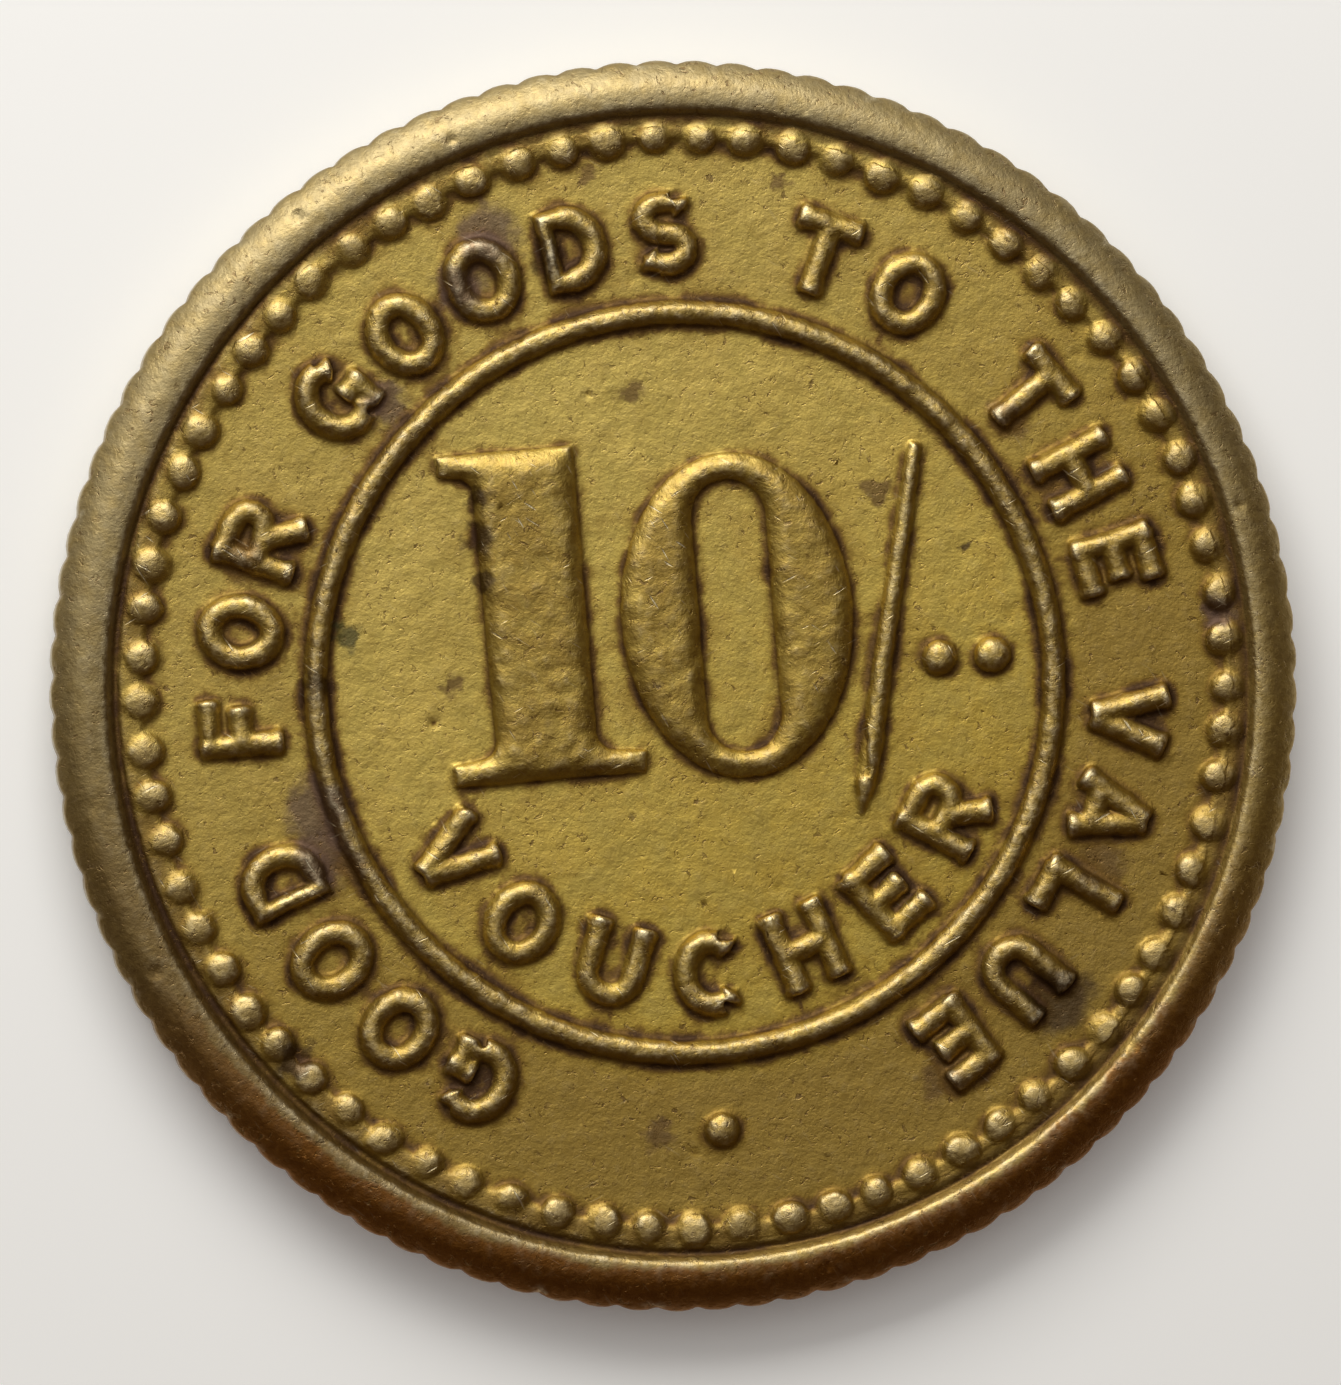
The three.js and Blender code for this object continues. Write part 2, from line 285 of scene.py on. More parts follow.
def letter_strokes(name):
    """(width, open strokes, closed strokes) of one capital."""
    if name == "A":
        width = CAP * 0.86
        return width, [
            [(HALF * 0.9, HALF * 0.3), (width / 2 - 0.02, CAP - HALF * 0.5)],
            [(width - HALF * 0.9, HALF * 0.3), (width / 2 + 0.02, CAP - HALF * 0.5)],
            [(width * 0.24, CAP * 0.3), (width * 0.76, CAP * 0.3)],
        ], []
    if name == "C":
        width = CAP * 0.82
        return width, [arc(CAP * 0.44, MIDDLE, CAP * 0.44 - HALF, MIDDLE - HALF, 42, 318, 18)], []
    if name == "D":
        width = CAP * 0.8
        bowl = arc(CAP * 0.34, MIDDLE, CAP * 0.46 - HALF, MIDDLE - HALF, 90, -90, 12)
        return width, [], [[(HALF, TOP)] + bowl + [(HALF, HALF)]]
    if name == "E":
        width = CAP * 0.7
        return width, [
            [(HALF, 0.02), (HALF, CAP - 0.02)],
            [(HALF * 0.6, TOP), (width, TOP)],
            [(HALF, MIDDLE), (width * 0.86, MIDDLE)],
            [(HALF * 0.6, HALF), (width, HALF)],
        ], []
    if name == "F":
        width = CAP * 0.68
        return width, [
            [(HALF, 0.02), (HALF, CAP - 0.02)],
            [(HALF * 0.6, TOP), (width, TOP)],
            [(HALF, MIDDLE), (width * 0.86, MIDDLE)],
        ], []
    if name == "G":
        width = CAP * 0.86
        bowl = arc(CAP * 0.44, MIDDLE, CAP * 0.44 - HALF, MIDDLE - HALF, 44, 316, 18)
        return width, [
            bowl,
            [(CAP * 0.5, CAP * 0.45), (width, CAP * 0.45)],
            [(width - HALF, CAP * 0.48), (width - HALF, CAP * 0.08)],
        ], []
    if name == "H":
        width = CAP * 0.78
        return width, [
            [(HALF, 0), (HALF, CAP)],
            [(width - HALF, 0), (width - HALF, CAP)],
            [(HALF, MIDDLE), (width - HALF, MIDDLE)],
        ], []
    if name == "L":
        width = CAP * 0.66
        return width, [
            [(HALF, 0.02), (HALF, CAP)],
            [(HALF * 0.6, HALF), (width, HALF)],
        ], []
    if name == "O":
        width = CAP * 0.86
        return width, [], [arc(width / 2, MIDDLE, width / 2 - HALF, MIDDLE - HALF, 0, 345, 23)]
    if name == "R":
        width = CAP * 0.8
        waist = CAP * 0.47
        bowl = arc(CAP * 0.44, (TOP + waist) / 2, CAP * 0.3 - HALF / 2, (TOP - waist) / 2, 90, -90, 8)
        return width, [
            [(HALF, 0), (HALF, CAP - 0.02)],
            [(HALF * 0.8, TOP)] + bowl + [(HALF, waist)],
            [(CAP * 0.4, waist), (width - HALF * 0.7, 0.02)],
        ], []
    if name == "S":
        width = CAP * 0.76
        bowl_height = (TOP - HALF) / 4
        upper = arc(width / 2, TOP - bowl_height, width / 2 - HALF, bowl_height, 28, 270, 10)
        lower = arc(width / 2, HALF + bowl_height, width / 2 - HALF, bowl_height, 90, -152, 10)
        return width, [upper + lower[1:]], []
    if name == "T":
        width = CAP * 0.8
        return width, [[(0, TOP), (width, TOP)], [(width / 2, 0), (width / 2, TOP)]], []
    if name == "U":
        width = CAP * 0.8
        bowl = arc(width / 2, width / 2, width / 2 - HALF, width / 2 - HALF, 180, 360, 12)
        return width, [[(HALF, CAP)] + bowl + [(width - HALF, CAP)]], []
    width = CAP * 0.86
    return width, [
        [(HALF * 0.9, CAP - HALF * 0.3), (width / 2 - 0.02, HALF * 0.5)],
        [(width - HALF * 0.9, CAP - HALF * 0.3), (width / 2 + 0.02, HALF * 0.5)],
    ], []


def letter(name, section, foot_level, turn, hand):
    """One capital with its middle on the Y axis, then turned about the centre of the design."""
    width, opened, closed = letter_strokes(name)
    pieces = [ridge("letter_stroke", stroke, section) for stroke in opened]
    pieces += [ridge("letter_stroke", stroke, section, closed=True) for stroke in closed]
    piece = joined(pieces)
    sway = math.radians(hand.uniform(-1.2, 1.2))
    tip = math.radians(hand.uniform(-2.0, 2.0))
    lean = math.radians(hand.uniform(-2.0, 2.0))
    place = Matrix.Translation((0, foot_level + hand.uniform(-0.04, 0.04), hand.uniform(-0.03, 0.01)))
    uneven = Matrix.Rotation(tip, 4, "X") @ Matrix.Rotation(lean, 4, "Y")
    raised = Matrix.Translation((0, LETTER_HEIGHT / 2, 0))
    centring = Matrix.Translation((-width / 2, -LETTER_HEIGHT / 2, 0))
    spin = Matrix.Rotation(turn, 4, "Z")
    piece.data.transform(spin @ place @ Matrix.Rotation(sway, 4, "Z") @ raised @ uneven @ centring)
    return piece


def legend(section, hand):
    places = []
    travel = 0.0
    for name in LEGEND:
        if name == " ":
            travel += WORD_PITCH - LETTER_PITCH
        else:
            places.append((name, travel))
            travel += LETTER_PITCH
    span = places[-1][1]
    middle_radius = (LETTER_FOOT_RADIUS + LETTER_TOP_RADIUS) / 2
    return [
        letter(name, section, LETTER_FOOT_RADIUS, (span / 2 - travel) / middle_radius, hand)
        for name, travel in places
    ]


def lower_word(section, hand):
    step = LOWER_WORD_PITCH / (LOWER_WORD_FOOT_RADIUS - LETTER_HEIGHT / 2)
    first = -(len(LOWER_WORD) - 1) / 2
    return [
        letter(name, section, -LOWER_WORD_FOOT_RADIUS, (first + i) * step, hand)
        for i, name in enumerate(LOWER_WORD)
    ]


# ---- Beads, dots and the line circle ----

def dome(name, diameter, height, x, y):
    bpy.ops.mesh.primitive_uv_sphere_add(
        segments=20, ring_count=12, radius=diameter / 2, location=(x, y, 0))
    piece = last_added(name)
    piece.scale = (1, 1, height / (diameter / 2))
    return settle(piece)


def bead_ring(hand):
    first = dome("bead", BEAD_DIAMETER, BEAD_HEIGHT, 0, 0)
    beads = [first]
    for i in range(1, BEADS):
        bead = first.copy()
        bead.data = first.data.copy()
        bpy.context.collection.objects.link(bead)
        beads.append(bead)
    for i, bead in enumerate(beads):
        angle = 2 * math.pi * i / BEADS + hand.uniform(-0.004, 0.004)
        radius = BEAD_RING_RADIUS + hand.uniform(-0.04, 0.03)
        place = Matrix.Translation((radius * math.cos(angle), radius * math.sin(angle), 0))
        worn_flat = Matrix.Rotation(math.radians(hand.uniform(-9, 9)), 4, (math.cos(i), math.sin(i), 0))
        wide, deep, tall = hand.uniform(0.9, 1.08), hand.uniform(0.88, 1.04), hand.uniform(0.7, 1.0)
        shape = Matrix.Diagonal((wide, deep, tall, 1))
        bead.data.transform(place @ worn_flat @ shape)
    return beads


def bead_band():
    """A low step that joins the outer half of the beads to the rim's foot."""
    inner = BEAD_RING_RADIUS - 0.12
    outer = RECESS_RADIUS - 0.06
    profile = [(inner, -SUNK), (outer, -SUNK), (outer, BEAD_BAND_HEIGHT), (inner + 0.12, BEAD_BAND_HEIGHT),
               (inner + 0.03, BEAD_BAND_HEIGHT * 0.5), (inner, -SUNK)]
    return turned_profile("bead_band", profile, 160)


def line_circle():
    outer = LINE_WIDTH / 2
    profile = [(LINE_RADIUS - outer, -SUNK), (LINE_RADIUS + outer, -SUNK)]
    slope = [(1.0, 0.0), (0.82, 0.45), (0.5, 0.86), (0.24, 1.0)]
    for across, rise in slope + [(-across, rise) for across, rise in reversed(slope)]:
        profile.append((LINE_RADIUS + outer * across, LINE_HEIGHT * rise))
    profile.append(profile[0])
    return turned_profile("line_circle", profile, 160)


# ---- The value: a fat-face 1 and 0, a slanting stroke and two dots ----

def flat_numeral(name, outlines, edge=0.42):
    """A numeral with broadly rounded edges, from outlines of which later ones are holes."""
    data = bpy.data.curves.new(name, "CURVE")
    data.dimensions = "2D"
    data.fill_mode = "BOTH"
    data.extrude = SUNK
    data.bevel_depth = edge
    data.bevel_resolution = 4
    data.offset = -edge * 0.95
    for outline in outlines:
        spline = data.splines.new("POLY")
        spline.points.add(len(outline) - 1)
        for point, (x, y) in zip(spline.points, outline):
            point.co = (x, y, 0, 1)
        spline.use_cyclic_u = True
    piece = bpy.data.objects.new(name, data)
    bpy.context.collection.objects.link(piece)
    only(piece)
    bpy.ops.object.convert(target="MESH")
    piece = bpy.context.active_object
    bpy.ops.object.mode_set(mode="EDIT")
    bpy.ops.mesh.select_all(action="SELECT")
    bpy.ops.mesh.remove_doubles(threshold=0.0005)
    bpy.ops.mesh.normals_make_consistent(inside=False)
    bpy.ops.object.mode_set(mode="OBJECT")
    piece.scale = (1, 1, VALUE_RELIEF / (edge + SUNK))
    return settle(piece)


def numeral_one():
    outline = [(-5.5, -1.97), (-1.1, -1.97)]
    outline += [(-1.05, -1.5)] + arc(-1.75, -1.0, 0.42, 0.42, 270, 180, 4)
    outline += [(-2.2, 5.66), (-5.36, 5.66), (-5.34, 5.22)]
    outline += [(-4.85, 5.12)] + arc(-4.9, 4.75, 0.34, 0.34, 45, 0, 3)
    outline += arc(-4.9, -1.0, 0.42, 0.42, 0, -80, 4) + [(-5.52, -1.52)]
    return flat_numeral("numeral_one", [outline])


def numeral_nought():
    x, y = 1.32, 1.46
    bottom_shoulder_shade = arc(x, y, 2.68, 3.76, 0, 354, 59)
    slot = arc(x - 0.02, y + 2.3, 0.88, 0.88, 0, 180, 12) + arc(x - 0.02, y - 2.3, 0.88, 0.88, 180, 360, 12)
    return flat_numeral("numeral_nought", [bottom_shoulder_shade, slot])


def slanting_stroke(section):
    middle = [(5.77, 5.1), (5.7, 4.8), (5.4, 3.5), (4.95, 1.6),
              (4.5, -0.4), (4.2, -1.8), (3.98, -2.7), (3.82, -3.35)]
    return ridge("slanting_stroke", middle, section, widths=[0.45, 0.66, 0.7, 0.75, 0.85, 0.95, 0.8, 0.2])


def value(section):
    return [
        numeral_one(),
        numeral_nought(),
        slanting_stroke(section),
        dome("dot", 0.85, 0.26, 5.94, 0.1),
        dome("dot", 0.88, 0.28, 7.17, 0.06),
    ]


# ---- One struck disc ----

def face_relief():
    hand = random.Random(11)
    section = ridge_section()
    dot_radius = (LETTER_FOOT_RADIUS + LETTER_TOP_RADIUS) / 2
    pieces = legend(section, hand) + lower_word(section, hand) + value(section)
    pieces += bead_ring(hand) + [bead_band(), line_circle(), dome("stop_dot", 0.85, 0.24, 0, -dot_radius)]
    relief = joined(pieces)
    bpy.data.objects.remove(section)
    relief.location = (STRIKE_SHIFT[0], STRIKE_SHIFT[1], FIELD)
    return settle(relief)


# ---- Wear on the struck surfaces ----

def places_of(piece):
    flat = np.empty(len(piece.data.vertices) * 3, np.float32)
    piece.data.vertices.foreach_get("co", flat)
    return flat.reshape(-1, 3).astype(float)


def move_to(piece, places):
    piece.data.vertices.foreach_set("co", places.astype(np.float32).ravel())
    piece.data.update()


# A square map of heights over one face, and ways to blur and read it.
CELL = 0.06
REACH = RADIUS + 1.0
CELLS = int(2 * REACH / CELL) + 1


def height_map(places):
    index = np.round((places[:, :2] + REACH) / CELL).astype(int)
    flat = np.full(CELLS * CELLS, -9.0)
    np.maximum.at(flat, index[:, 0] * CELLS + index[:, 1], places[:, 2])
    grid = flat.reshape(CELLS, CELLS)
    for _ in range(3):
        around = np.max([np.roll(grid, (i, j), (0, 1)) for i in (-1, 0, 1) for j in (-1, 0, 1)], axis=0)
        grid = np.where(grid < -8, around, grid)
    return np.where(grid < -8, 0.2, grid)


def blurred(grid, spread):
    steps = np.arange(-int(3 * spread / CELL), int(3 * spread / CELL) + 1)
    weights = np.exp(-0.5 * (steps * CELL / spread) ** 2)
    weights /= weights.sum()
    for axis in (0, 1):
        grid = np.apply_along_axis(np.convolve, axis, grid, weights, mode="same")
    return grid


def read_map(grid, places):
    spot = (places[:, :2] + REACH) / CELL
    corner = np.floor(spot).astype(int)
    share = spot - corner
    i, j = corner[:, 0], corner[:, 1]
    a, b = share[:, 0], share[:, 1]
    return (grid[i, j] * (1 - a) * (1 - b) + grid[i + 1, j] * a * (1 - b)
            + grid[i, j + 1] * (1 - a) * b + grid[i + 1, j + 1] * a * b)


# Knocks on the rim and field: place, radius and depth.
KNOCKS = [
    (-7.88, 11.54, 0.2, 0.07),
    (-4.2, 13.0, 0.16, 0.05),
    (9.9, -9.2, 0.22, 0.05),
    (13.4, 3.1, 0.2, 0.05),
    (-12.6, -5.6, 0.24, 0.05),
    (2.4, -13.7, 0.2, 0.04),
    (-5.7, -0.4, 0.14, 0.05),
    (-1.5, 6.9, 0.12, 0.04),
]
DENTS = 70


def pressed(places, x, y, radius, depth, side):
    away = np.hypot(places[:, 0] - x, places[:, 1] - y) / radius
    near = (away < 1) & (places[:, 2] * side > 0)
    places[near, 2] -= side * depth * (1 - away[near] ** 2) ** 2


def raised_share(places):
    """How far each point stands above the field, inside the rim."""
    inside = np.hypot(places[:, 0], places[:, 1]) < RECESS_RADIUS - 0.25
    return np.clip((np.abs(places[:, 2]) - FIELD) / 0.16, 0, 1) * inside


def rounded_value(places):
    """Wears the edges of the 1 and the 0 down, so that their faces are broadly rounded."""
    for side in (1, -1):
        facing = places[:, 2] * side > 0
        own = places[facing] * (side, 1, side)
        share = np.clip((height_map(own) - FIELD) / VALUE_RELIEF, 0, 1)
        middle = np.clip((read_map(blurred(share, 0.33), own) - 0.5) / 0.45, 0, 1)
        above = np.clip(own[:, 2] - FIELD, 0, VALUE_RELIEF)
        x, y = own[:, 0] - STRIKE_SHIFT[0], own[:, 1] - STRIKE_SHIFT[1]
        on_value = (x > -5.7) & (x < 4.1) & (y > -2.5) & (y < 5.8)
        own[:, 2] -= 0.36 * above * (1 - middle) ** 1.5 * on_value
        places[facing] = own * (side, 1, side)


def clouded(disc, name, grain, strength, group=""):
    texture = bpy.data.textures.new(name, "CLOUDS")
    texture.noise_scale = grain
    texture.noise_depth = 1
    finished_with(disc, "DISPLACE", texture=texture, strength=strength, mid_level=0.5,
                  texture_coords="LOCAL", vertex_group=group)


def worn(disc):
    """Rounded value, uneven metal flow, knocks and dents, while the surface is still dense."""
    places = places_of(disc)
    rounded_value(places)
    move_to(disc, places)
    clouded(disc, "flow", 0.45, 0.02)
    clouded(disc, "grain", 0.15, 0.012)
    relief = disc.vertex_groups.new(name="relief")
    share = raised_share(places_of(disc))
    for level in (0.5, 1.0):
        relief.add(np.flatnonzero(share > level - 0.35).tolist(), level, "REPLACE")
    clouded(disc, "uneven_strike", 0.5, 0.05, "relief")
    clouded(disc, "bruising", 0.24, 0.02, "relief")
    disc.vertex_groups.remove(disc.vertex_groups["relief"])
    places = places_of(disc)
    for x, y, radius, depth in KNOCKS:
        pressed(places, x, y, radius, depth, 1)
        pressed(places, -x, y, radius, depth, -1)
    hand = np.random.default_rng(7)
    for i in range(DENTS):
        angle = hand.uniform(0, 2 * math.pi)
        reach = RADIUS * math.sqrt(hand.uniform(0, 0.96))
        x, y = reach * math.cos(angle), reach * math.sin(angle)
        pressed(places, x, y, hand.uniform(0.1, 0.28), hand.uniform(0.008, 0.025), 1 if i % 2 else -1)
    move_to(disc, places)


def thinned(disc):
    """Fewer triangles where the surface is plain. The reverse is thinned more."""
    triangles = 2 * len(disc.data.polygons)
    heights = places_of(disc)[:, 2]
    reverse = heights < -THICKNESS * 0.2
    shares = (
        ("reverse", reverse, REVERSE_TRIANGLES),
        ("obverse", ~reverse, MOST_TRIANGLES - REVERSE_TRIANGLES),
    )
    for name, _, _ in shares:
        disc.vertex_groups.new(name=name)
    for name, chosen, _ in shares:
        disc.vertex_groups[name].add(np.flatnonzero(chosen).tolist(), 1.0, "REPLACE")
    left = triangles
    for name, chosen, wanted in shares:
        spare = triangles * float(chosen.mean()) - wanted
        ratio = (left - spare) / left
        finished_with(disc, "DECIMATE", ratio=ratio, vertex_group=name, vertex_group_factor=10)
        left -= spare
    for name, _, _ in shares:
        disc.vertex_groups.remove(disc.vertex_groups[name])


# ---- Toning and rubbing, stored for the finish ----

def write_attribute(piece, name, values):
    layer = piece.data.attributes.new(name, "FLOAT", "POINT")
    layer.data.foreach_set("value", values.astype(np.float32))


def toned(disc):
    """Stores how sheltered, rubbed, raised and near to relief each point is. The finish reads these."""
    places = places_of(disc)
    radius = np.hypot(places[:, 0], places[:, 1])
    shelter = np.zeros(len(places))
    nearby = np.zeros(len(places))
    rubbed = np.zeros(len(places))
    reach = np.zeros(len(places))
    from_foot = np.zeros(len(places))
    for side in (1, -1):
        facing = places[:, 2] * side > 0
        own = places[facing] * (side, 1, side)
        heights = height_map(own)
        close = read_map(blurred(heights, 0.1), own) - own[:, 2]
        wide = read_map(blurred(heights, 0.35), own) - own[:, 2]
        shelter[facing] = np.clip(close / 0.06, 0, 1) * 0.75 + np.clip(wide / 0.09, 0, 1) * 0.3
        rubbed[facing] = np.clip(-close / 0.04, 0, 1)
        nearby[facing] = np.clip((read_map(blurred(heights, 0.6), own) - FIELD) / 0.1, 0, 1)
        reach[facing] = np.hypot(own[:, 0] - STRIKE_SHIFT[0], own[:, 1] - STRIKE_SHIFT[1])
        from_foot[facing] = np.hypot(own[:, 0] - FOOT_SHIFT[0], own[:, 1] - FOOT_SHIFT[1]) - FOOT_RADIUS
    below_shoulder = np.abs(places[:, 2]) < THICKNESS / 2 - SHOULDER_DROP * 0.8
    wall = (radius > RADIUS - REED_DEPTH * 1.6) & below_shoulder
    groove = np.clip((RADIUS - radius) / REED_DEPTH, 0, 1)
    shelter[wall] = groove[wall] ** 0.8
    rubbed[wall] = np.clip(1 - groove[wall] * 3, 0, 1) * 0.6
    write_attribute(disc, "shelter", np.clip(shelter, 0, 1))
    write_attribute(disc, "rubbed", rubbed)
    write_attribute(disc, "raised", raised_share(places))
    write_attribute(disc, "nearby", nearby)
    write_attribute(disc, "reach", reach)
    write_attribute(disc, "from_foot", from_foot)


def struck_disc():
    obverse = face_relief()
    reverse = obverse.copy()
    reverse.data = obverse.data.copy()
    bpy.context.collection.objects.link(reverse)
    reverse.rotation_euler = (0, math.pi, 0)
    settle(reverse)
    disc = joined([blank(), obverse, reverse])
    finished_with(disc, "REMESH", mode="VOXEL", voxel_size=VOXEL, adaptivity=0)
    finished_with(disc, "SMOOTH", factor=0.5, iterations=3)
    worn(disc)
    thinned(disc)
    toned(disc)
    disc.name = "struck_token"
    disc.data.name = "struck_token"
    disc.location = (0, 0, THICKNESS / 2)
    settle(disc)
    disc.scale = (TO_METRES, TO_METRES, TO_METRES)
    settle(disc)
    only(disc)
    bpy.ops.object.shade_smooth()
    return disc


# ---- Finish: struck brass with toning, tarnish, pits and rubbing, and painted shade towards the lower right and along the bottom of the rim ----

class Finish:
    """A material being wired: each call adds one node and gives back its output."""

    def __init__(self, name):
        self.material = bpy.data.materials.new(name)
        self.material.use_nodes = True
        self.tree = self.material.node_tree
        self.shader = self.tree.nodes["Principled BSDF"]

    def put(self, socket, value):
        if isinstance(value, bpy.types.NodeSocket):
            self.tree.links.new(value, socket)
        else:
            socket.default_value = value

    def add(self, kind, inputs=(), output=0, **settings):
        node = self.tree.nodes.new("ShaderNode" + kind)
        for name, value in settings.items():
            setattr(node, name, value)
        for key, value in dict(inputs).items():
            self.put(node.inputs[key], value)
        return node.outputs[output]

    def maths(self, operation, first, second=0.5, clamp=False):
        return self.add("Math", {0: first, 1: second}, operation=operation, use_clamp=clamp)

    def ramp(self, value, low, high, out_low=0.0, out_high=1.0):
        inputs = {"Value": value, "From Min": low, "From Max": high, "To Min": out_low, "To Max": out_high}
        return self.add("MapRange", inputs, interpolation_type="SMOOTHSTEP")

    def mixed(self, share, first, second, blend="MIX"):
        node = self.tree.nodes.new("ShaderNodeMix")
        node.data_type = "RGBA"
        node.blend_type = blend
        for socket, value in ((0, share), (6, first), (7, second)):
            if isinstance(value, tuple):
                value = (*value, 1.0)
            self.put(node.inputs[socket], value)
        return node.outputs[2]

    def noise(self, place, scale, detail=2.0, roughness=0.5, distortion=0.0):
        inputs = {"Vector": place, "Scale": scale, "Detail": detail}
        inputs.update({"Roughness": roughness, "Distortion": distortion})
        return self.add("TexNoise", inputs)

    def along(self, place, direction):
        """How far a place lies towards a direction."""
        return self.add("VectorMath", {0: place, 1: direction}, output="Value", operation="DOT_PRODUCT")

    def near(self, value, middle, far, close, most=1.0):
        """`most` within `close` of the middle value, falling to nothing at `far`."""
        away = self.maths("ABSOLUTE", self.maths("SUBTRACT", value, middle))
        return self.ramp(away, far, close, 0, most)

    def attribute(self, name):
        return self.add("Attribute", output="Fac", attribute_name=name)


PALE_BRASS = (0.73, 0.55, 0.14)
# Painted shade: the field colour on the side away from the key light.
PAINTED_SHADE_BRASS = (0.62, 0.42, 0.045)
OLIVE_BRASS = (0.5, 0.375, 0.075)
HANDLED_BRASS = (0.36, 0.23, 0.036)
TONED_BRASS = (0.17, 0.092, 0.022)
UMBER = (0.05, 0.021, 0.007)
RIM_FILM = (0.34, 0.262, 0.122)
RIM_BROWN_AND_SHADE = (0.2, 0.068, 0.007)
RIM_OLIVE = (0.19, 0.122, 0.03)
RUBBED_BRASS = (0.86, 0.77, 0.53)
PURPLE_TARNISH = (0.15, 0.09, 0.06)
GREEN_TARNISH = (0.045, 0.045, 0.012)

# Directions across the face.
LOWER_RIGHT = (0.5, -0.87, 0)
LOWER_LEFT = (-0.76, -0.65, 0)
DOWN = (0.02, -1.0, 0)

# Radii at which the finish changes.
INSIDE_LINE, OUTSIDE_LINE = 8.2, 9.6
BEAD_INNER, BEAD_MIDDLE = 12.15, 12.35
BAND_INNER, BAND_FULL = 12.4, 12.8
RIM_CREST, RIM_OUTSIDE = 13.42, 13.66

# Tarnish spots on the obverse: place, radius and colour.
SPOTS = [
    (-7.59, 1.77, 0.34, GREEN_TARNISH),
    (-8.36, 0.67, 0.37, UMBER),
    (-4.21, 4.74, 0.34, UMBER),
    (-4.27, 3.82, 0.36, UMBER),
    (-4.23, 2.77, 0.32, UMBER),
    (-5.22, 0.41, 0.27, TONED_BRASS),
    (-8.54, -2.15, 0.78, PURPLE_TARNISH),
    (-8.45, -3.27, 0.72, PURPLE_TARNISH),
    (-7.87, -3.6, 0.4, TONED_BRASS),
    (-6.23, 7.05, 0.5, PURPLE_TARNISH),
    (-3.53, 10.73, 0.72, PURPLE_TARNISH),
    (-4.23, 9.58, 0.58, PURPLE_TARNISH),
    (-2.19, 10.1, 0.45, UMBER),
    (-0.51, 6.88, 0.3, TONED_BRASS),
    (7.0, 2.73, 0.17, UMBER),
    (12.69, 0.75, 0.42, PURPLE_TARNISH),
    (8.26, -7.94, 0.85, UMBER),
    (9.49, -4.93, 0.6, TONED_BRASS),
    (5.41, -9.64, 0.56, TONED_BRASS),
    (5.03, 4.17, 0.34, TONED_BRASS),
    (-1.15, 11.99, 0.2, TONED_BRASS),
    (3.27, 11.54, 0.2, TONED_BRASS),
    (1.34, 10.16, 0.2, TONED_BRASS),
    (-9.53, -7.97, 0.5, UMBER),
    (-1.23, -10.37, 0.37, TONED_BRASS),
    (-9.86, 3.81, 0.56, TONED_BRASS),
    (8.17, 5.58, 0.51, TONED_BRASS),
]


